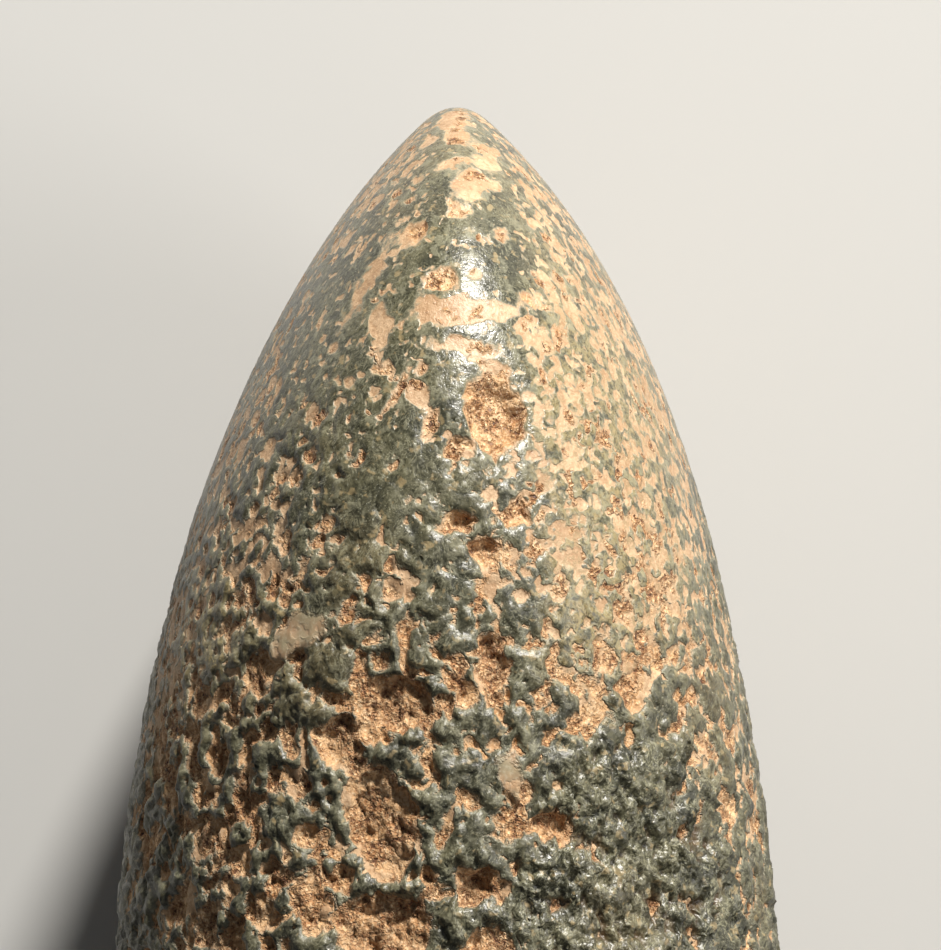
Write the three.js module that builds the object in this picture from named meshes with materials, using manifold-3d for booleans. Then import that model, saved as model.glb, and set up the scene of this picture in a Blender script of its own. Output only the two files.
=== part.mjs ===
// A polished stone axe head, ground from one piece of spotted greenstone.
// It is thick and nearly round in section, with a curved cutting edge at one end and a tapering, rounded
// butt at the other. The bit is polished smooth; the body is pecked and weathered into low dents.
//
// The axe lies on one narrow side, on a small ground flat. Millimetres, +Z up:
// +X runs along the axe towards the cutting edge, Y is across its thickness, Z is across its width.
// The origin is on the ground, under the middle of the axe.

import * as THREE from "three";
import { mergeVertices } from "three/addons/utils/BufferGeometryUtils.js";
import Module from "manifold-3d";

// The whole axe.
const LENGTH = 150;
const WIDTH = 54; // from narrow side to narrow side
const THICKNESS = 45.4; // from broad face to broad face

// Where the axe is thickest and widest, measured from the cutting edge towards the butt.
const THICKEST_AT = 78;
const WIDEST_AT = 62;

// How the two outlines swell from each end to that station. A higher power stays full for longer, and a
// fullness of 0.5 closes as round as an ellipse, where 1 would close as a wedge.
const SIDE_OUTLINE = { bitPower: 2.57, bitFullness: 0.725, buttPower: 2.1 };
const FACE_OUTLINE = { bitPower: 4.2, bitFullness: 0.5, buttPower: 1.9 };

// The cutting edge.
const EDGE_RADIUS = 2.2; // worn round, as seen along the edge
const EDGE_RADIUS_REACH = 0.8; // how fast that rounding gives way to the ground bevels
const EDGE_SET = 0.65; // how far the edge stands off the middle of the thickness
const EDGE_SET_FROM = 5; // that lean starts this far behind the edge
const EDGE_SET_TO = 40; // and has died out here

// The section is a lean oval at the bit, which grows fuller along the body. A power of 2 is an ellipse, and
// a higher one is squarer.
const BIT_POWER = 1.8; // across the thickness
const BODY_POWER = 2.3; // across the thickness and the width
const BODY_FROM = 36; // distance behind the edge where the section is full

// Low dents left by pecking and weather, on the body but not on the polished bit.
const DENT_DEPTH = 0.4;
const POLISH_ENDS = 14; // behind the edge
const PECKING_STARTS = 46; // fully pecked from here to the butt
const BUTT_TIP = 10; // the dents die out over the last of the butt
const DEEPEST_DENT = 0.5; // as a share of the distance in to the middle of the stone
const DENT_WAVES = [
  { length: 23, along: 0.62, across: 0.55, up: 0.56, shift: 0.4 },
  { length: 17, along: -0.48, across: 0.8, up: 0.35, shift: 2.1 },
  { length: 13, along: 0.75, across: -0.22, up: 0.63, shift: 4.4 },
  { length: 11, along: 0.3, across: 0.45, up: -0.84, shift: 1.2 },
  { length: 9, along: -0.66, across: -0.58, up: 0.48, shift: 5.3 },
];

// Hollows where the stone has spalled. from is the distance behind the edge; turn is the place round the
// section in degrees, with 0 on the upper narrow side, 90 on the +Y face and 180 underneath.
const SPALLS = [
  { from: 20, turn: -12, length: 7, breadth: 6, depth: 0.7 },
  { from: 38, turn: 8, length: 9, breadth: 7, depth: 0.7 },
  { from: 47, turn: 14, length: 15, breadth: 10, depth: 1.0 },
  { from: 49, turn: -34, length: 9, breadth: 12, depth: 0.9 },
  { from: 68, turn: 22, length: 13, breadth: 11, depth: 0.9 },
  { from: 84, turn: -24, length: 16, breadth: 10, depth: 0.8 },
  { from: 104, turn: 6, length: 12, breadth: 14, depth: 1.0 },
  { from: 66, turn: 88, length: 11, breadth: 13, depth: 0.7 },
  { from: 96, turn: 104, length: 15, breadth: 12, depth: 0.9 },
  { from: 128, turn: 76, length: 10, breadth: 9, depth: 0.8 },
  { from: 74, turn: -92, length: 12, breadth: 10, depth: 0.7 },
  { from: 116, turn: -110, length: 14, breadth: 15, depth: 1.0 },
  { from: 118, turn: 168, length: 12, breadth: 10, depth: 0.8 },
  { from: 140, turn: 30, length: 10, breadth: 9, depth: 0.9 },
];

// The flat on the underside that the axe lies on.
const FLAT_DEPTH = 0.9; // ground off the lower narrow side

// Facets.
const ROWS = 62; // along the axe
const COLUMNS = 72; // round the section

const STONE_COLOUR = 0x5b6051;

const lerp = THREE.MathUtils.lerp;
const smoothstep = THREE.MathUtils.smoothstep;

// x raised to a power with its sign kept.
function signedPower(x, power) {
  return Math.sign(x) * Math.abs(x) ** power;
}

// An outline's share of its full half breadth, at a distance behind the edge.
function swell(distance, fullestAt, outline) {
  if (distance < fullestAt) {
    const closing = 1 - distance / fullestAt;
    return (1 - closing ** outline.bitPower) ** outline.bitFullness;
  }
  const closing = (distance - fullestAt) / (LENGTH - fullestAt);
  return Math.max(0, 1 - closing ** outline.buttPower) ** 0.5;
}

function halfThickness(distance) {
  const bevel = (THICKNESS / 2) * swell(distance, THICKEST_AT, SIDE_OUTLINE);
  const worn = 2 * EDGE_RADIUS * distance * Math.exp(-distance / EDGE_RADIUS_REACH);
  return Math.hypot(bevel, Math.sqrt(worn));
}

function halfWidth(distance) {
  return (WIDTH / 2) * swell(distance, WIDEST_AT, FACE_OUTLINE);
}

// How deep the pecked and weathered surface lies under the smooth form.
function dent(distance, turn, point) {
  let waves = 0;
  for (const wave of DENT_WAVES) {
    const phase = wave.along * point.x + wave.across * point.y + wave.up * point.z;
    waves += Math.sin((2 * Math.PI * phase) / wave.length + wave.shift);
  }
  const uneven = 0.5 + (0.5 * waves) / DENT_WAVES.length;
  const pecked = smoothstep(distance, POLISH_ENDS, PECKING_STARTS);
  const atButt = smoothstep(LENGTH - distance, 0, BUTT_TIP);
  let depth = DENT_DEPTH * uneven * pecked * atButt;

  const radius = Math.hypot(point.y, point.z);
  for (const spall of SPALLS) {
    const away = Math.abs(turn - THREE.MathUtils.degToRad(spall.turn));
    const round = Math.min(away, 2 * Math.PI - away) * radius;
    const reach = Math.hypot(
      (2 * (distance - spall.from)) / spall.length,
      (2 * round) / spall.breadth,
    );
    depth += spall.depth * Math.max(0, 1 - reach ** 2) ** 2;
  }
  return depth;
}

// The point on the axe at a distance behind the edge and a turn round the section.
function surfacePoint(distance, turn) {
  const full = smoothstep(distance, 0, BODY_FROM);
  const acrossPower = 2 / lerp(BIT_POWER, BODY_POWER, full);
  const upPower = 2 / lerp(2, BODY_POWER, full);
  const point = new THREE.Vector3(
    -distance,
    halfThickness(distance) * signedPower(Math.sin(turn), acrossPower),
    halfWidth(distance) * signedPower(Math.cos(turn), upPower),
  );
  const radius = Math.hypot(point.y, point.z);
  if (radius > 0) {
    const left = 1 - Math.min(dent(distance, turn, point) / radius, DEEPEST_DENT);
    point.y *= left;
    point.z *= left;
  }
  point.y -= EDGE_SET * (1 - smoothstep(distance, EDGE_SET_FROM, EDGE_SET_TO));
  return point;
}

// The whole ground form: a sphere whose two poles are drawn out to the cutting edge and the butt.
function axeGeometry() {
  const geometry = new THREE.SphereGeometry(1, COLUMNS, ROWS);
  const position = geometry.getAttribute("position");
  for (let i = 0; i < position.count; i++) {
    const polar = THREE.MathUtils.clamp(position.getY(i), -1, 1);
    const distance = (LENGTH * (1 - polar)) / 2;
    const turn = Math.atan2(position.getZ(i), position.getX(i));
    const point = surfacePoint(distance, turn);
    position.setXYZ(i, point.x, point.y, point.z);
  }
  return geometry;
}

const wasm = await Module();
wasm.setup();

// A closed geometry as a solid that can be cut.
function solidOf(geometry) {
  const bare = geometry.clone().deleteAttribute("normal").deleteAttribute("uv");
  const merged = mergeVertices(bare, 1e-4);
  return new wasm.Manifold(
    new wasm.Mesh({
      numProp: 3,
      vertProperties: merged.getAttribute("position").array,
      triVerts: new Uint32Array(merged.index.array),
    }),
  );
}

function geometryOf(solid) {
  const mesh = solid.getMesh();
  return new THREE.BufferGeometry()
    .setAttribute("position", new THREE.BufferAttribute(mesh.vertProperties, 3))
    .setIndex(new THREE.BufferAttribute(mesh.triVerts, 1));
}

// The axe with its resting flat ground off the lower narrow side, set down with the origin under its middle.
function groundAxe() {
  const rough = axeGeometry();
  rough.computeBoundingBox();
  const grinder = new THREE.BoxGeometry(2 * LENGTH, 2 * WIDTH, WIDTH);
  grinder.translate(-LENGTH / 2, 0, rough.boundingBox.min.z + FLAT_DEPTH - WIDTH / 2);
  const geometry = geometryOf(solidOf(rough).subtract(solidOf(grinder)));

  geometry.computeBoundingBox();
  const middle = geometry.boundingBox.getCenter(new THREE.Vector3());
  geometry.translate(-middle.x, -middle.y, -geometry.boundingBox.min.z);
  geometry.computeVertexNormals();
  return geometry;
}

const stone = new THREE.MeshStandardMaterial({
  color: STONE_COLOUR,
  roughness: 0.55,
  metalness: 0,
});

const axeHead = new THREE.Mesh(groundAxe(), stone);
axeHead.name = "axe_head";

const axe = new THREE.Group();
axe.add(axeHead);

export default axe;
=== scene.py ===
# A polished stone axe of spotted greenstone, lying on one narrow side and seen from above, bit first.
# Metres, +Z up, +X along the axe towards its cutting edge.

import math

import bmesh
import bpy
import numpy as np
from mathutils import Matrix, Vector


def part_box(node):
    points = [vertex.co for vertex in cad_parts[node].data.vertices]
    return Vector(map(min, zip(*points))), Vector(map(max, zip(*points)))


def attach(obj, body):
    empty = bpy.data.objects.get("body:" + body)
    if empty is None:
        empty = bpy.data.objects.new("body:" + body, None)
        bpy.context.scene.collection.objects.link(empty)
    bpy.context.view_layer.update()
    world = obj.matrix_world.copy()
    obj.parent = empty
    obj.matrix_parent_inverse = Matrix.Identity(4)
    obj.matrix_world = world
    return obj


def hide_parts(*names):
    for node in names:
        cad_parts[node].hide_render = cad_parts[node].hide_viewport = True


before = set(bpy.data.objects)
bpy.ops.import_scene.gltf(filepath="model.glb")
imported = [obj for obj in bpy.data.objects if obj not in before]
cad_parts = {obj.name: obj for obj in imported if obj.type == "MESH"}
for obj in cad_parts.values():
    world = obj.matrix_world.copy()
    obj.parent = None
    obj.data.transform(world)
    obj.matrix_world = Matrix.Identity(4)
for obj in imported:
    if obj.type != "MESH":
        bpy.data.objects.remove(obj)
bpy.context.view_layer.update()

# ---------------------------------------------------------------------------------------------------
# The axe head is one cobble of greenstone, a dark, fine, tough rock full of soft tan spots. Its maker
# pecked it to shape and ground the bit and the broad faces smooth. Weather then ate the soft spots out of
# the body, and blown sand set hard in the holes.

MM = 0.001

axe_low, axe_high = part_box("axe_head")
cutting_edge = axe_high.x
middle_height = (axe_low.z + axe_high.z) / 2
half_width = (axe_high.z - axe_low.z) / 2
half_thickness = (axe_high.y - axe_low.y) / 2

# Where the soft spots lie on the upper narrow side, in millimetres: how far behind the cutting edge, how
# far to the -Y side of its middle, length along the axe, breadth across it, turn in degrees, and how deep
# the weather has eaten it.
SOFT_SPOTS = [
    (1.4, 0.0, 2.0, 2.2, 0, 0.00),  # worn tip of the edge
    (2.5, 0.1, 1.2, 1.4, 0, 0.00),
    (3.6, 1.8, 1.0, 2.2, -38, 0.00),
    (4.2, 0.1, 0.8, 3.6, 8, 0.00),
    (5.5, 1.4, 1.6, 2.5, 0, 0.02),  # pale oval
    (7.0, 0.4, 1.1, 1.2, 0, 0.10),  # round pit
    (9.2, 2.6, 1.0, 1.5, -20, 0.02),
    (8.9, -2.8, 1.5, 1.5, 0, 0.12),
    (11.8, -0.9, 1.6, 2.0, 20, 0.28),
    (12.5, 6.4, 1.1, 1.1, 0, 0.05),
    (13.3, 4.7, 1.2, 1.2, 0, 0.10),
    (11.8, -5.6, 6.4, 0.9, -28, 0.02),  # slanting streak
    (13.9, 0.4, 1.9, 6.8, 2, 0.02),  # long crosswise spot, ground flush
    (14.8, -4.7, 2.4, 1.3, 0, 0.04),
    (16.0, 0.8, 0.7, 4.8, -6, 0.02),
    (16.9, 1.9, 0.9, 2.8, -28, 0.04),
    (17.2, -4.5, 1.0, 1.0, 0, 0.10),
    (17.4, -2.2, 0.9, 0.9, 0, 0.10),
    (18.9, -2.4, 1.4, 1.4, 0, 0.00),
    (18.8, -3.9, 1.7, 1.1, -35, 0.12),
    (20.2, 2.5, 6.0, 3.5, 8, 0.85),  # the deepest pit
    (20.6, -1.8, 2.3, 1.2, 8, 0.12),
    (22.3, 0.1, 1.4, 1.4, 0, 0.25),
    (26.9, 0.1, 1.5, 2.6, 12, 0.45),
    (28.4, 2.2, 2.2, 2.4, 0, 0.40),
    (26.4, 3.9, 2.4, 1.9, 20, 0.30),
    (35.8, 2.3, 3.6, 2.2, 10, 0.30),
    (38.4, -3.8, 3.4, 5.0, -14, 0.22),
    (40.4, -7.6, 3.0, 3.6, 20, 0.18),
    (45.5, -4.8, 7.4, 4.2, 10, 0.26),
    (52.0, -4.5, 4.0, 6.5, 0, 0.25),
    (49.5, 1.2, 2.6, 2.6, 0, 0.45),
    (46.0, 6.0, 2.0, 3.4, 0, 0.20),
]
PALE_GRAINS = [
    (34.0, -10.1, 2.2, 4.2, 30, 0.04),  # translucent pinkish grain
    (42.9, 3.6, 3.4, 1.5, 8, 0.06),  # beige grain
]
EDGE_MIDDLE = -0.65 * MM  # the middle of the cutting edge stands a little to the -Y side


class Field:
    """A number worked out at every point of the stone by the nodes of a tree."""

    def __init__(self, tree, socket):
        self.tree = tree
        self.socket = socket

    def __add__(self, other):
        return combined(self.tree, "ADD", self, other)

    def __sub__(self, other):
        return combined(self.tree, "SUBTRACT", self, other)

    def __rsub__(self, other):
        return combined(self.tree, "SUBTRACT", other, self)

    def __mul__(self, other):
        return combined(self.tree, "MULTIPLY", self, other)

    def __truediv__(self, other):
        return combined(self.tree, "DIVIDE", self, other)

    def __neg__(self):
        return self * -1.0

    def __abs__(self):
        return combined(self.tree, "ABSOLUTE", self)

    def most(self, other):
        return combined(self.tree, "MAXIMUM", self, other)

    def rise(self, low, high):
        """0 below low, 1 above high, and a smooth slope between."""
        node = self.tree.nodes.new("ShaderNodeMapRange")
        node.interpolation_type = "SMOOTHSTEP"
        for place, value in zip(node.inputs, (self, low, high, 0.0, 1.0)):
            feed(self.tree, place, value)
        return Field(self.tree, node.outputs[0])

    def fall(self, low, high):
        return 1.0 - self.rise(low, high)


def feed(tree, place, value):
    """Joins a field or a node's socket to an input, or sets the input to a plain value."""
    if isinstance(value, Field):
        value = value.socket
    if isinstance(value, bpy.types.NodeSocket):
        tree.links.new(value, place)
    else:
        place.default_value = value


def combined(tree, operation, *values):
    """The field that one sum makes of other fields and plain numbers."""
    node = tree.nodes.new("ShaderNodeMath")
    node.operation = operation
    for place, value in zip(node.inputs, values):
        feed(tree, place, value)
    return Field(tree, node.outputs[0])


def vector(tree, operation, *values, scale=None):
    node = tree.nodes.new("ShaderNodeVectorMath")
    node.operation = operation
    for place, value in zip(node.inputs, values):
        feed(tree, place, value)
    if scale is not None:
        feed(tree, node.inputs["Scale"], scale)
    return node.outputs[0]


def axes(tree, at):
    """The X, Y and Z of a place, each as a field."""
    node = tree.nodes.new("ShaderNodeSeparateXYZ")
    feed(tree, node.inputs[0], at)
    return [Field(tree, socket) for socket in node.outputs]


def noise(tree, at, size, detail=1.0, roughness=0.5):
    """Soft random lumps of a given size, about 0.5 on average."""
    node = tree.nodes.new("ShaderNodeTexNoise")
    feed(tree, node.inputs["Vector"], at)
    node.inputs["Scale"].default_value = 1 / size
    node.inputs["Detail"].default_value = detail
    node.inputs["Roughness"].default_value = roughness
    return node


def lumps(tree, at, size, **shape):
    return Field(tree, noise(tree, at, size, **shape).outputs["Fac"])


def cells(tree, at, size):
    node = tree.nodes.new("ShaderNodeTexVoronoi")
    feed(tree, node.inputs["Vector"], at)
    node.inputs["Scale"].default_value = 1 / size
    return node


def stirred(tree, at, size, reach):
    """The same place pushed about by soft noise, so that patterns on it lose their straight growth."""
    push = noise(tree, at, size).outputs["Color"]
    push = vector(tree, "SUBTRACT", push, (0.5, 0.5, 0.5))
    return vector(tree, "ADD", at, vector(tree, "SCALE", push, scale=reach))


def scattered(tree, at, spacing, smallest, largest):
    """Round grains scattered through the stone: how far inside one a point is, in millimetres."""
    cell = cells(tree, at, spacing * MM)
    away = Field(tree, cell.outputs["Distance"]) * spacing
    pick = axes(tree, cell.outputs["Color"])[0]
    return pick * (largest - smallest) + smallest - away


SPOT_SIZE = 1.9 * MM
FINE_SPOT_SIZE = 0.95 * MM  # on the polished bit
SOFT_ABOVE = 0.532  # the noise above which the stone is a soft spot
FALL_PER_MM = 0.3  # how fast the field of spots falls out of a grain
DRIFT = 0.16  # how much more or less of the stone is soft from place to place
DRIFT_SIZE = 8 * MM
LOOSE_SIZE = 1.7 * MM  # patches where the soft stone has crumbled alike


def soft_field(tree, at, rich, polish, marks):
    """Above 0 where a soft tan spot comes to the surface, below 0 on green stone.

    rich is how much more of the stone is soft, and marks is the field of the spots that are listed.
    """
    coarse = lumps(tree, stirred(tree, at, 2.0 * MM, 1.9 * MM), SPOT_SIZE, detail=1.9, roughness=0.55)
    fine = lumps(tree, stirred(tree, at, 1.0 * MM, 0.9 * MM), FINE_SPOT_SIZE, detail=1.5, roughness=0.55)
    blotches = coarse + (fine - coarse) * polish
    drift = (lumps(tree, at, DRIFT_SIZE) - 0.5) * DRIFT
    bent = stirred(tree, at, 0.9 * MM, 0.8 * MM)
    large = scattered(tree, bent, spacing=2.2, smallest=0.0, largest=0.90) * FALL_PER_MM
    small = scattered(tree, bent, spacing=1.1, smallest=-0.25, largest=0.32) * FALL_PER_MM
    small = small + polish * 0.045
    grains = large.most(small) + drift * 0.6 + rich * 0.7
    return (blotches - SOFT_ABOVE + rich + drift).most(grains).most(marks)


def crumbled(tree, at, soft, polish, eaten):
    """How far the soft stone has gone from a spot: 0 where it is whole, 1 where it is rough sand."""
    loose = lumps(tree, at, LOOSE_SIZE, detail=2.0) + soft * 0.5 + (0.13 - polish * 0.24)
    return loose.rise(0.50, 0.58).most(eaten.rise(0.03, 0.12)) * soft.rise(0.0, 0.035)


SPOT_MIDDLE = 0.16  # the field at the middle of a listed spot, for each millimetre of its breadth


def spot_field(tree, at, spots):
    """How far a point is inside the nearest of the listed spots, on the scale of soft_field, and how deep
    the weather has eaten there in millimetres."""
    x, y, z = axes(tree, stirred(tree, stirred(tree, at, 2.2 * MM, 1.9 * MM), 0.75 * MM, 1.2 * MM))
    upper = z.rise(middle_height, middle_height + half_width * 0.12)
    inside = None
    eaten = None
    for behind, across, length, breadth, turn, depth in spots:
        along = (x - (cutting_edge - behind * MM)) / MM
        aside = (y - (EDGE_MIDDLE - across * MM)) / MM
        cosine = math.cos(math.radians(turn))
        sine = math.sin(math.radians(turn))
        lengthwise = (along * cosine + aside * sine) / (length / 2)
        crosswise = (aside * cosine - along * sine) / (breadth / 2)
        within = 1.0 - combined(tree, "SQRT", lengthwise * lengthwise + crosswise * crosswise)
        spot = within * (SPOT_MIDDLE * min(length, breadth))
        pit = within.rise(-0.05, 0.55) * depth
        inside = spot if inside is None else inside.most(spot)
        eaten = pit if eaten is None else eaten.most(pit)
    return inside + upper - 1.0, eaten * upper


SMOOTHING = 4  # times each facet of the solid is split into four

relief = bpy.data.node_groups.new("Ground and weathered stone", "GeometryNodeTree")
relief.interface.new_socket(name="Geometry", in_out="INPUT", socket_type="NodeSocketGeometry")
relief.interface.new_socket(name="Geometry", in_out="OUTPUT", socket_type="NodeSocketGeometry")
RELIEF_SIZES = {
    "Sand depth": 0.30 * MM,
    "Flush depth": 0.025 * MM,
    "Nodule rounding": 0.38 * MM,
    "Lump height": 0.16 * MM,
    "Nodule stand": 0.34 * MM,
}
for name, size in RELIEF_SIZES.items():
    relief.interface.new_socket(name=name, in_out="INPUT", socket_type="NodeSocketFloat")

stone_in = relief.nodes.new("NodeGroupInput")
stone_out = relief.nodes.new("NodeGroupOutput")

smooth = relief.nodes.new("GeometryNodeSubdivisionSurface")
smooth.inputs["Level"].default_value = SMOOTHING
relief.links.new(stone_in.outputs["Geometry"], smooth.inputs["Mesh"])


def keep(geometry, name, value, kind="FLOAT"):
    """Writes a field on the stone under a name, where the colours can read it."""
    node = relief.nodes.new("GeometryNodeStoreNamedAttribute")
    node.data_type = kind
    node.domain = "POINT"
    node.inputs["Name"].default_value = name
    relief.links.new(geometry, node.inputs["Geometry"])
    feed(relief, node.inputs["Value"], value)
    return node.outputs["Geometry"]


here = relief.nodes.new("GeometryNodeInputPosition").outputs[0]
stone = keep(smooth.outputs["Mesh"], "ground_at", here, "FLOAT_VECTOR")
ground = relief.nodes.new("GeometryNodeInputNamedAttribute")
ground.data_type = "FLOAT_VECTOR"
ground.inputs["Name"].default_value = "ground_at"
at = ground.outputs["Attribute"]

x, y, z = axes(relief, at)
behind = (cutting_edge - x) / MM
side = y / half_thickness
height = (z - middle_height) / half_width

# The grinding went on longest at the bit and on the broad faces, and hardly touched the narrow sides.
POLISH_WHOLE = 13.0  # millimetres behind the cutting edge
POLISH_GONE = 42.0
RAGGED = 24  # how far that border wanders, from end to end
ragged = (lumps(relief, at, 14 * MM, detail=2.0) - 0.5) * RAGGED
face = abs(side).rise(0.45, 0.98)


def oval(behind_mm, across_mm, deep_mm, radii):
    """How far the stone is from a place on the upper side, as a share of the radii of an oval round it."""
    middle = (cutting_edge - behind_mm * MM, EDGE_MIDDLE - across_mm * MM, axe_high.z - deep_mm * MM)
    away = vector(relief, "SUBTRACT", at, middle)
    away = vector(relief, "MULTIPLY", away, tuple(1 / (radius * MM) for radius in radii))
    node = relief.nodes.new("ShaderNodeVectorMath")
    node.operation = "LENGTH"
    feed(relief, node.inputs[0], away)
    return Field(relief, node.outputs["Value"])


# Places on the upper side, as ovals: how far the middle lies behind the cutting edge, to the -Y side of it
# and below the top, then the radii along, across and down, all in millimetres.
SPOTTED_SHOULDER = (23, 9.8, 6, (18, 7.2, 16))
BROKEN_PATCH = (52, 11.8, 4, (13, 7.5, 12))
BIT_RIDGE = (9.0, 0.9, 6, (12.5, 3.8, 20))
PLAIN_SHOULDER = (15, -7, 6, (12, 7, 16))
PLAIN_MIDDLE = (29, -3, 3, (9, 8, 12))
SPOTTED_FLANK = (48, -17, 9, (24, 6, 14))

uneven = (lumps(relief, at, 6 * MM) - 0.5) * 0.8
spotted = (oval(*SPOTTED_SHOULDER) + uneven).fall(0.55, 1.30)
polish = (behind + ragged - face * 12 - spotted * 8).fall(POLISH_WHOLE, POLISH_GONE)
stone = keep(stone, "polish", polish)

# A patch of fresh, splintery fracture on the -Y side of the body, and a few more round the stone.
broken_edge = (lumps(relief, at, 5 * MM, detail=2.0) - 0.5) * 1.6
other_breaks = lumps(relief, at, 21 * MM, detail=1.5).rise(0.60, 0.68) * behind.rise(40, 60)
broken = (oval(*BROKEN_PATCH) + broken_edge).fall(0.75, 1.15)
broken = broken.most(other_breaks) * polish.fall(0.3, 0.8)
stone = keep(stone, "broken", broken)

# The spots crowd together on the -Y side behind the bit, and are few along the ridge.
rich = spotted * 0.048 - broken * 0.13 - polish * 0.022
rich = rich - (oval(*BIT_RIDGE) + uneven * 0.4).fall(0.7, 1.1) * 0.15
rich = rich - (oval(*PLAIN_SHOULDER) + uneven).fall(0.6, 1.2) * 0.05
rich = rich - (oval(*PLAIN_MIDDLE) + uneven).fall(0.6, 1.3) * 0.040
rich = rich + (oval(*SPOTTED_FLANK) + uneven).fall(0.6, 1.2) * 0.035
stone = keep(stone, "rich", rich)

marks, eaten = spot_field(relief, at, SOFT_SPOTS)
grains = spot_field(relief, at, PALE_GRAINS)[0]
stone = keep(stone, "marks", marks)
stone = keep(stone, "grains", grains)
stone = keep(stone, "eaten", eaten)

soft = soft_field(relief, at, rich, polish, marks)
gone = crumbled(relief, at, soft, polish, eaten)
body = 1.0 - polish

# How far the surface has sunk under the ground form, each cause in turn. The spots sink first.
CREVICE_DEPTH_MM = 0.14
FRACTURE_DEPTH_MM = 0.6
SPLINTER_DEPTH_MM = 0.36
RIPPLE_DEPTH_MM = 0.22
POLISHED_RIPPLE_MM = 0.03
hollow = soft.rise(-0.010, 0.030)
wide = soft.rise(0.02, 0.17) * 0.75 + 0.25
sand_low = lumps(relief, at, 3.1 * MM).rise(0.35, 0.68)
flush_depth = Field(relief, stone_in.outputs["Flush depth"])
sand_depth = Field(relief, stone_in.outputs["Sand depth"])
depth = hollow * (flush_depth + sand_depth * body * (sand_low * 0.5 * wide + 0.10))
depth = depth + gone * wide * sand_depth * (body * 0.40 + 0.20)
heaped = lumps(relief, stirred(relief, at, 1.0 * MM, 0.7 * MM), 0.85 * MM, detail=2.5, roughness=0.65)
depth = depth + gone * heaped.fall(0.32, 0.58) * wide * sand_depth * (body * 0.9 + 0.2)
rounding = soft.rise(-0.21, 0.0)
depth = depth + rounding * rounding * body * Field(relief, stone_in.outputs["Nodule rounding"])
lump = lumps(relief, at, 4.2 * MM, detail=2.5, roughness=0.6)
depth = depth + lump * body * Field(relief, stone_in.outputs["Lump height"]) * 2.0
crevice = lumps(relief, stirred(relief, at, 2.2 * MM, 1.8 * MM), 3.6 * MM, detail=2.0)
crevice = abs(crevice - 0.5).fall(0.0, 0.022)
depth = depth + crevice * body * CREVICE_DEPTH_MM * MM
depth = depth + eaten * MM * hollow
fracture = lumps(relief, stirred(relief, at, 3 * MM, 2.5 * MM), 2.6 * MM, detail=4.0, roughness=0.62)
depth = depth + broken * fracture.fall(0.35, 0.62) * FRACTURE_DEPTH_MM * MM
splinter_at = vector(relief, "MULTIPLY", stirred(relief, at, 1.4 * MM, 0.9 * MM), (0.6, 1.0, 1.0))
splinters = lumps(relief, splinter_at, 0.75 * MM, detail=3.0, roughness=0.65)
depth = depth + broken * splinters.fall(0.34, 0.56) * SPLINTER_DEPTH_MM * MM
ripple = lumps(relief, stirred(relief, at, 1.3 * MM, 1.2 * MM), 1.3 * MM, detail=3.0, roughness=0.6)
depth = depth + ripple * (body * RIPPLE_DEPTH_MM + POLISHED_RIPPLE_MM) * MM

# The tops of the nodules stand out as far as the ground form did, and the resting flat stays flat.
depth = depth - body * height.rise(-0.985, -0.94) * Field(relief, stone_in.outputs["Nodule stand"])
resting = height.fall(-0.995, -0.985)
depth = depth * (1.0 - resting.most(grains.rise(-0.05, 0.05) * 0.8))

normal = relief.nodes.new("GeometryNodeInputNormal").outputs[0]
inward = vector(relief, "SCALE", normal, scale=-depth)
move = relief.nodes.new("GeometryNodeSetPosition")
relief.links.new(stone, move.inputs["Geometry"])
feed(relief, move.inputs["Offset"], inward)
stone = keep(move.outputs["Geometry"], "depth_mm", depth / MM)

# Facets are kept fine on the upper side of the bit and the body behind it, where the stone is looked at.
top = height.rise(-0.15, 0.15)
stone = keep(stone, "coarse", 1.0 - top * behind.fall(64, 70))

realise = relief.nodes.new("GeometryNodeRealizeInstances")
relief.links.new(stone, realise.inputs["Geometry"])
finish = relief.nodes.new("GeometryNodeSetMaterial")
relief.links.new(realise.outputs["Geometry"], finish.inputs["Geometry"])
relief.links.new(finish.outputs["Geometry"], stone_out.inputs["Geometry"])

# Greenstone: dark green-grey crystals matted together, with paler fibres, polished or matt; tan sand and
# tan soft mineral in the spots; both taken from the same field that shaped the surface.
greenstone = bpy.data.materials.new("Greenstone and sand")
greenstone.use_nodes = True
paint = greenstone.node_tree
paint.nodes.clear()
finish.inputs["Material"].default_value = greenstone


def read(name, output="Fac"):
    """What the relief wrote on the stone under a name."""
    node = paint.nodes.new("ShaderNodeAttribute")
    node.attribute_type = "GEOMETRY"
    node.attribute_name = name
    return Field(paint, node.outputs[output])


def srgb(red, green, blue):
    """A colour given on the usual scale of 0 to 255, as the share of light it gives back."""
    scaled = [value / 255 for value in (red, green, blue)]
    linear = [value / 12.92 if value <= 0.04045 else ((value + 0.055) / 1.055) ** 2.4 for value in scaled]
    return (*linear, 1.0)


COLOUR_A = 6  # where a Mix node of colours takes the first one
COLOUR_B = 7
COLOUR_RESULT = 2


def blend(amount, first, second, mode="MIX"):
    node = paint.nodes.new("ShaderNodeMix")
    node.data_type = "RGBA"
    node.blend_type = mode
    feed(paint, node.inputs["Factor"], amount)
    feed(paint, node.inputs[COLOUR_A], first)
    feed(paint, node.inputs[COLOUR_B], second)
    return node.outputs[COLOUR_RESULT]


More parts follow.
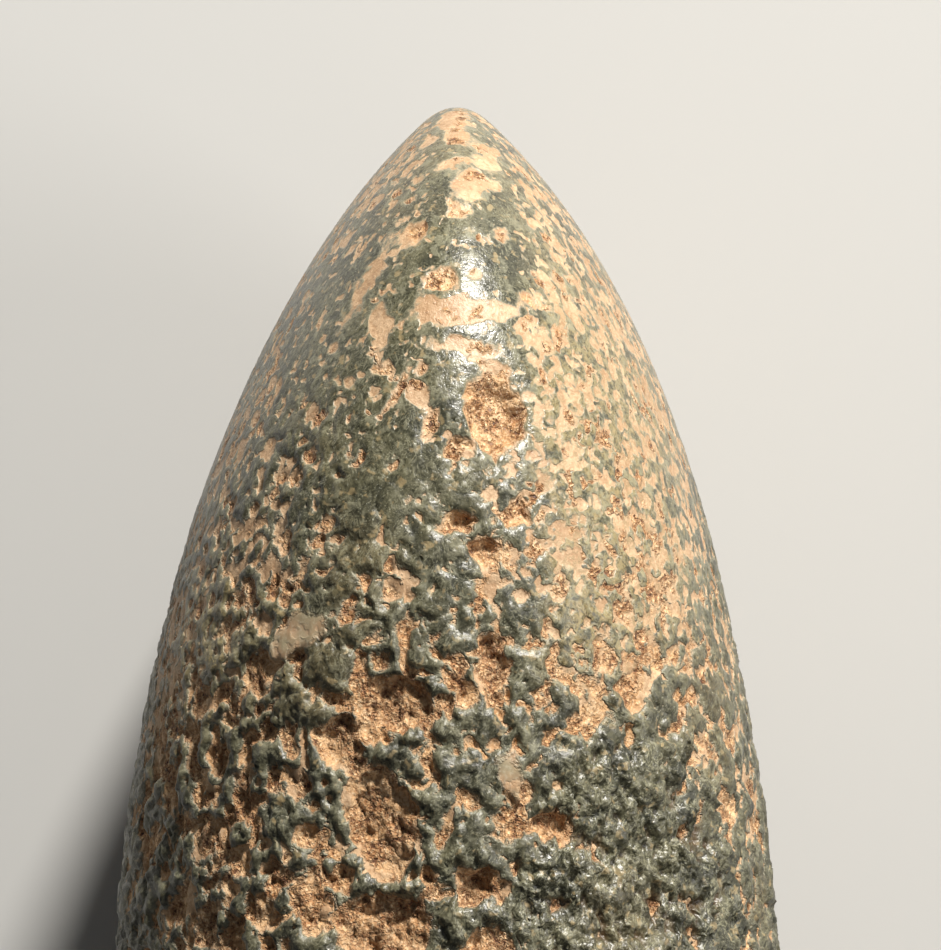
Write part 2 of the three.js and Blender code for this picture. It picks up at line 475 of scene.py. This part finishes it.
# The same fields again, as the colours read them.
at = read("ground_at", "Vector").socket
here = paint.nodes.new("ShaderNodeTexCoord").outputs["Object"]
polish = read("polish")
broken = read("broken")
marks = read("marks")
grains = read("grains")
rich = read("rich")
eaten = read("eaten")
depth_mm = read("depth_mm")
body = 1.0 - polish
soft = soft_field(paint, at, rich, polish, marks)
gone = crumbled(paint, at, soft, polish, eaten)
crumb = lumps(paint, here, 0.20 * MM, detail=2.0, roughness=0.6)
soft_edge = soft + (crumb - 0.5) * 0.08 + (lumps(paint, here, 0.55 * MM, detail=2.5) - 0.5) * 0.09
is_soft = soft_edge.rise(polish * -0.014 - 0.014, polish * 0.014 + 0.018)


NEEDLE_LENGTH = 0.75 * MM
NEEDLE_BREADTH = 0.11 * MM
NEEDLE_PATCH = 1.5 * MM


def needles(turn_z, turn_y):
    """Pale needles of crystal lying one way, and the patches of stone in which they lie that way."""
    lie = paint.nodes.new("ShaderNodeMapping")
    lie.vector_type = "TEXTURE"
    feed(paint, lie.inputs["Vector"], here)
    lie.inputs["Rotation"].default_value = (0.0, math.radians(turn_y), math.radians(turn_z))
    lie.inputs["Scale"].default_value = (NEEDLE_LENGTH, NEEDLE_BREADTH, NEEDLE_BREADTH)
    drawn = lumps(paint, lie.outputs["Vector"], 1.0, detail=1.5, roughness=0.6)
    elsewhere = vector(paint, "ADD", here, (turn_z * MM, turn_y * MM, 0.0))
    return drawn.rise(0.54, 0.66) * lumps(paint, elsewhere, NEEDLE_PATCH, detail=1.5).rise(0.48, 0.60)


# The green rock.
DARK_GREEN = srgb(62, 62, 48)
LIGHT_GREEN = srgb(98, 95, 72)
BROWN_STAIN = srgb(126, 111, 76)
TAN_HAZE = srgb(158, 141, 98)
DARK_FELT = srgb(36, 37, 26)
PALE_FELT = srgb(132, 130, 106)
NEEDLE_GREY = srgb(160, 157, 130)
PAINTED_GLINT_GREY = srgb(196, 198, 182)
TAN_FLECK = srgb(176, 154, 112)
PAINTED_RIM_HIGHLIGHT = srgb(164, 160, 136)
CLEFT_SHADE = srgb(34, 31, 20)
CLEFT_TOP_HIGHLIGHT = srgb(154, 151, 126)
CREASE_SHADE = srgb(30, 29, 20)
BROKEN_HOLLOW_SHADE = srgb(84, 62, 36)

mottle = lumps(paint, at, 2.9 * MM, detail=3.0, roughness=0.6)
finely_stirred = stirred(paint, here, 0.5 * MM, 0.3 * MM)
felt = lumps(paint, finely_stirred, 0.26 * MM, detail=2.5, roughness=0.68)
needle = needles(12, 20).most(needles(68, -25)).most(needles(-35, 10)).most(needles(125, 30))
glint = lumps(paint, here, 0.13 * MM, detail=1.0).rise(0.68, 0.76)
stain = lumps(paint, at, 11 * MM, detail=2.0).rise(0.50, 0.66)
blurred = rich.rise(0.0, 0.036) * polish.rise(0.0, 0.4)
crease = abs(lumps(paint, stirred(paint, here, 0.9 * MM, 0.9 * MM), 0.75 * MM, detail=3.0) - 0.5)
cleft = lumps(paint, stirred(paint, here, 1.1 * MM, 1.0 * MM), 1.05 * MM, detail=2.4, roughness=0.58)
green = blend(mottle.rise(0.38, 0.62), DARK_GREEN, LIGHT_GREEN)
green = blend(stain * 0.4, green, BROWN_STAIN)
haze = blurred * lumps(paint, at, 0.8 * MM, detail=3.0).rise(0.36, 0.56)
green = blend(haze * 0.9, green, TAN_HAZE)
green = blend(felt.fall(0.34, 0.56) * 0.7, green, DARK_FELT)
green = blend(felt.rise(0.56, 0.72) * 0.4, green, PALE_FELT)
green = blend(needle * (broken * 0.25 + 0.45), green, NEEDLE_GREY)
# Painted glints: tiny specks of painted highlight scattered over the green.
green = blend(glint * 0.45, green, PAINTED_GLINT_GREY)
fleck = lumps(paint, stirred(paint, here, 0.7 * MM, 0.6 * MM), 0.62 * MM, detail=1.5)
green = blend(fleck.rise(0.60, 0.70) * 0.55, green, TAN_FLECK)
# Painted highlight: the green is paler in a thin band round each soft spot, where the edges of the nodules
# catch the light.
rim_highlight = soft_edge.rise(-0.07, 0.0)
green = blend(rim_highlight * rim_highlight * 0.52, green, PAINTED_RIM_HIGHLIGHT)
# Painted shade: the green is darker in the low parts of the cleft relief.
green = blend(cleft.fall(0.36, 0.50) * body * 0.40, green, CLEFT_SHADE)
# Painted highlight: the green is paler on the high parts of the cleft relief.
green = blend(cleft.rise(0.54, 0.66) * (polish * 0.15 + 0.30), green, CLEFT_TOP_HIGHLIGHT)
# Painted shade: thin dark lines along the creases.
green = blend(crease.fall(0.0, 0.014) * body * 0.22, green, CREASE_SHADE)
# Painted shade: the broken patch turns dark brown where its surface has sunk deepest.
deep_broken_shade = broken * depth_mm.rise(0.50, 0.95)
green = blend(deep_broken_shade * 0.75, green, BROKEN_HOLLOW_SHADE)

# The tan spots: soft whole mineral where they were ground flush, and set sand where it has gone.
DARK_TAN = srgb(180, 146, 110)
LIGHT_TAN = srgb(206, 174, 138)
TAN_CRUMBLE_SHADE = srgb(154, 114, 76)
TAN_CRUMB_HIGHLIGHT = srgb(232, 206, 170)
GREEN_HAZE = srgb(146, 130, 92)
DARK_SAND = srgb(204, 160, 112)
LIGHT_SAND = srgb(224, 186, 140)
SAND_GRAIN_HIGHLIGHT = srgb(240, 214, 176)
SAND_GRAIN_SHADE = srgb(146, 96, 54)
SHADE_BETWEEN_GRAINS = srgb(156, 100, 54)
SHADE_BETWEEN_CLUMPS = srgb(166, 106, 58)
SAND_CRACK_SHADE = srgb(74, 40, 18)
PINKISH_GRAIN = srgb(196, 160, 124)
BEIGE_GRAIN = srgb(172, 160, 130)
PALE_STREAK = srgb(214, 204, 178)
HOLLOW_SHADE = srgb(112, 82, 56)

tone = lumps(paint, at, 2.2 * MM, detail=2.5, roughness=0.6)
tan = blend(tone.rise(0.35, 0.65), DARK_TAN, LIGHT_TAN)
crumble = lumps(paint, finely_stirred, 0.33 * MM, detail=2.5, roughness=0.65)
# Painted shade: the tan mineral is browner in the low parts of its crumbly relief.
tan = blend(crumble.fall(0.36, 0.56) * 0.50, tan, TAN_CRUMBLE_SHADE)
# Painted highlight: the tan is paler on the high crumbs.
tan = blend(crumb.rise(0.56, 0.70) * 0.4, tan, TAN_CRUMB_HIGHLIGHT)
tan = blend(haze * felt.fall(0.44, 0.56) * 0.55, tan, GREEN_HAZE)
packed = cells(paint, finely_stirred, 0.21 * MM)
packed = Field(paint, packed.outputs["Distance"])
clump = lumps(paint, finely_stirred, 0.38 * MM, detail=3.0, roughness=0.70)
open_sand = lumps(paint, here, 1.7 * MM, detail=2.0).rise(0.38, 0.60)
open_sand = open_sand * 0.75 + 0.25
sand = blend(tone.rise(0.35, 0.65), DARK_SAND, LIGHT_SAND)
# Painted highlight: the sand is paler on the high grains.
sand = blend(crumb.rise(0.50, 0.64) * 0.55, sand, SAND_GRAIN_HIGHLIGHT)
# Painted shade: the sand is browner on the low grains.
sand = blend(crumb.fall(0.36, 0.46) * 0.45, sand, SAND_GRAIN_SHADE)
# Painted shade in the gaps between the packed sand grains.
sand = blend(packed.rise(0.40, 0.66) * open_sand * 0.65, sand, SHADE_BETWEEN_GRAINS)
# Painted shade in the gaps between the sand clumps.
sand = blend(clump.fall(0.44, 0.53) * open_sand * 0.45, sand, SHADE_BETWEEN_CLUMPS)
# Painted shade: near-black in the deepest cracks of the sand.
sand = blend(clump.fall(0.37, 0.42) * open_sand * 0.95, sand, SAND_CRACK_SHADE)
tan = blend(gone, tan, sand)
grain_tone = lumps(paint, at, 1.2 * MM, detail=2.0).rise(0.3, 0.7)
pale = blend(grain_tone, PINKISH_GRAIN, BEIGE_GRAIN)
pale = blend(felt.rise(0.50, 0.68) * 0.4, pale, PALE_STREAK)

colour = blend(is_soft, green, tan)
is_grain = (grains + (crumb - 0.5) * 0.12).rise(-0.03, 0.08)
colour = blend(is_grain * 0.75, colour, pale)
colour = blend(depth_mm.rise(0.60, 1.20) * body * 0.18, colour, HOLLOW_SHADE, "MULTIPLY")

STONE_IOR = 1.6
GREEN_ROUGHNESS = 0.45
TAN_ROUGHNESS = 0.90
shader = paint.nodes.new("ShaderNodeBsdfPrincipled")
shader.inputs["IOR"].default_value = STONE_IOR
feed(paint, shader.inputs["Base Color"], colour)
green_rough = GREEN_ROUGHNESS - polish * 0.13 - broken * 0.07 + (felt - 0.5) * 0.30
tan_rough = TAN_ROUGHNESS - polish * 0.42
rough = green_rough + (tan_rough - green_rough) * is_soft
feed(paint, shader.inputs["Roughness"], rough)

# Height, in millimetres, of what is too fine for the mesh: sand grains, cracks in the sand and the felt of
# the crystals.
sand_height = crumb * 0.055 + (clump.rise(0.37, 0.56) * 0.20 - packed * 0.09) * open_sand
tan_height = crumb * 0.04 + crumble * 0.05
tan_height = tan_height + (sand_height - tan_height) * gone
green_height = felt * 0.042 + cleft * (body * 0.13 + broken * 0.22 + 0.06)
step = soft_edge.rise(-0.03, 0.03) * (body * 0.09 + 0.02)
fine_height = green_height + (tan_height - green_height) * is_soft - step
fine_height = fine_height * (1.0 - is_grain * 0.85)
bump = paint.nodes.new("ShaderNodeBump")
bump.inputs["Strength"].default_value = 1.0
bump.inputs["Distance"].default_value = MM
feed(paint, bump.inputs["Height"], fine_height)
feed(paint, shader.inputs["Normal"], bump.outputs[0])

surface = paint.nodes.new("ShaderNodeOutputMaterial")
paint.links.new(shader.outputs[0], surface.inputs["Surface"])

# The faceted solid is smoothed and given its fine relief, then thinned to what its shape needs.
SAME_POINT = 0.001 * MM
SAME_FACE = 0.7  # radians between two triangles that were one face
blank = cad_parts["axe_head"].data.copy()
shaping = bmesh.new()
shaping.from_mesh(blank)
bmesh.ops.remove_doubles(shaping, verts=shaping.verts, dist=SAME_POINT)
bmesh.ops.join_triangles(
    shaping, faces=shaping.faces, angle_face_threshold=SAME_FACE, angle_shape_threshold=SAME_FACE
)
for face in shaping.faces:
    face.smooth = True
shaping.to_mesh(blank)
shaping.free()
blank.materials.clear()

shaped = bpy.data.objects.new("Axe head blank", blank)
bpy.context.scene.collection.objects.link(shaped)
relief_modifier = shaped.modifiers.new("Relief", "NODES")
relief_modifier.node_group = relief
for item in relief.interface.items_tree:
    if item.in_out == "INPUT" and item.name in RELIEF_SIZES:
        relief_modifier[item.identifier] = RELIEF_SIZES[item.name]


def plain_mesh(thing):
    """The mesh of an object with its modifiers worked out."""
    graph = bpy.context.evaluated_depsgraph_get()
    return bpy.data.meshes.new_from_object(thing.evaluated_get(graph))


def triangles(mesh):
    return len(mesh.loops) - 2 * len(mesh.polygons)


def among(mesh, members):
    """How many triangles have all their corners among the members."""
    corner = np.empty(len(mesh.loops), np.int32)
    mesh.loops.foreach_get("vertex_index", corner)
    return triangles(mesh) * members[corner].mean()


def coarse_part(mesh):
    coarse = np.empty(len(mesh.vertices), np.float32)
    mesh.attributes["coarse"].data.foreach_get("value", coarse)
    return coarse > 0.5


HOLD = 1000.0  # how firmly the facets outside the group are held back


def thin(thing, members, most):
    """Merges facets among the given corners only, down to a number, and keeps the rest as they are."""
    group = thing.vertex_groups.new(name="thin")
    group.add(np.nonzero(members)[0].tolist(), 1.0, "REPLACE")
    collapse = thing.modifiers.new("Thin", "DECIMATE")
    total = triangles(thing.data)
    collapse.ratio = (total - among(thing.data, members) + most) / total
    collapse.vertex_group = group.name
    collapse.vertex_group_factor = HOLD
    thing.data = plain_mesh(thing)
    thing.modifiers.remove(collapse)
    thing.vertex_groups.clear()


FINE_TRIANGLES = 118000
COARSE_TRIANGLES = 60000
axe = bpy.data.objects.new("axe_head_stone", plain_mesh(shaped))
bpy.context.scene.collection.objects.link(axe)
bpy.data.objects.remove(shaped)
thin(axe, coarse_part(axe.data), COARSE_TRIANGLES)
thin(axe, ~coarse_part(axe.data), FINE_TRIANGLES)
for face in axe.data.polygons:
    face.use_smooth = True

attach(axe, "root")
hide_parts("axe_head")

# ---------------------------------------------------------------------------------------------------
# The floor is a plain sheet of pale matt paper, laid flat. The axe rests on it by its own weight, on the
# flat of its lower narrow side.

FLOOR = 3.0  # from its middle to each side
PAPER_ROUGHNESS = 0.9
floor_mesh = bpy.data.meshes.new("Floor")
floor_mesh.from_pydata(
    [(-FLOOR, -FLOOR, 0), (FLOOR, -FLOOR, 0), (FLOOR, FLOOR, 0), (-FLOOR, FLOOR, 0)], [], [(0, 1, 2, 3)]
)
floor = bpy.data.objects.new("Floor", floor_mesh)
bpy.context.scene.collection.objects.link(floor)
paper = bpy.data.materials.new("Pale paper")
paper.use_nodes = True
paper_shader = paper.node_tree.nodes["Principled BSDF"]
paper_shader.inputs["Base Color"].default_value = srgb(196, 196, 194)
paper_shader.inputs["Roughness"].default_value = PAPER_ROUGHNESS
floor_mesh.materials.append(paper)

# ---------------------------------------------------------------------------------------------------
# The camera hangs over the bit end and looks straight down on it, with the cutting edge at the top of the
# view and the body running out at the bottom.

VIEW_HEIGHT = 62.1 * MM  # length of axe in view, at the middle of its width
VIEW_DISTANCE = 500 * MM
VIEW_BEHIND = 24.05 * MM  # from the cutting edge back to the middle of the view
VIEW_ASIDE = -1.6 * MM
SENSOR = 36.0

camera_data = bpy.data.cameras.new("Camera")
camera_data.sensor_width = SENSOR
camera_data.lens = SENSOR * VIEW_DISTANCE / VIEW_HEIGHT
camera_data.clip_start = 0.01
camera = bpy.data.objects.new("Camera", camera_data)
camera.location = (cutting_edge - VIEW_BEHIND, VIEW_ASIDE, middle_height + VIEW_DISTANCE)
camera.rotation_euler = (0, 0, -math.pi / 2)
bpy.context.scene.collection.objects.link(camera)
bpy.context.scene.camera = camera

# ---------------------------------------------------------------------------------------------------
# The studio light is a low key lamp beyond the bit, a wide weak one over the -Y side and another overhead,
# in a dim room with a cool cast.

WARM_WHITE = (1.0, 0.96, 0.90)
SOFT_WHITE = (1.0, 0.97, 0.93)
COOL_WHITE = (0.94, 0.97, 1.0)
LIT_PLACE = 30 * MM  # behind the cutting edge
ROOM_STRENGTH = 0.06


def lamp(name, bearing, elevation, distance, size, power, colour):
    """An area lamp aimed at the bit. bearing is in degrees from +X towards -Y."""
    data = bpy.data.lights.new(name, "AREA")
    data.shape = "DISK"
    data.size = size
    data.energy = power
    data.color = colour
    aim = Vector((cutting_edge - LIT_PLACE, 0, middle_height))
    turn = math.radians(bearing)
    rise = math.radians(elevation)
    away = Vector((math.cos(rise) * math.cos(turn), -math.cos(rise) * math.sin(turn), math.sin(rise)))
    thing = bpy.data.objects.new(name, data)
    thing.location = aim + away * distance
    thing.rotation_euler = away.to_track_quat("Z", "Y").to_euler()
    bpy.context.scene.collection.objects.link(thing)


lamp("Key", bearing=20, elevation=32, distance=0.7, size=0.10, power=9.2, colour=WARM_WHITE)
lamp("Side", bearing=85, elevation=30, distance=0.8, size=0.40, power=2.2, colour=SOFT_WHITE)
lamp("Top", bearing=0, elevation=85, distance=1.0, size=0.9, power=0.5, colour=COOL_WHITE)

room = bpy.data.worlds.new("Room")
room.use_nodes = True
sky = room.node_tree.nodes["Background"]
sky.inputs["Color"].default_value = srgb(220, 226, 234)
sky.inputs["Strength"].default_value = ROOM_STRENGTH
bpy.context.scene.world = room
bpy.context.scene.view_settings.view_transform = "Standard"
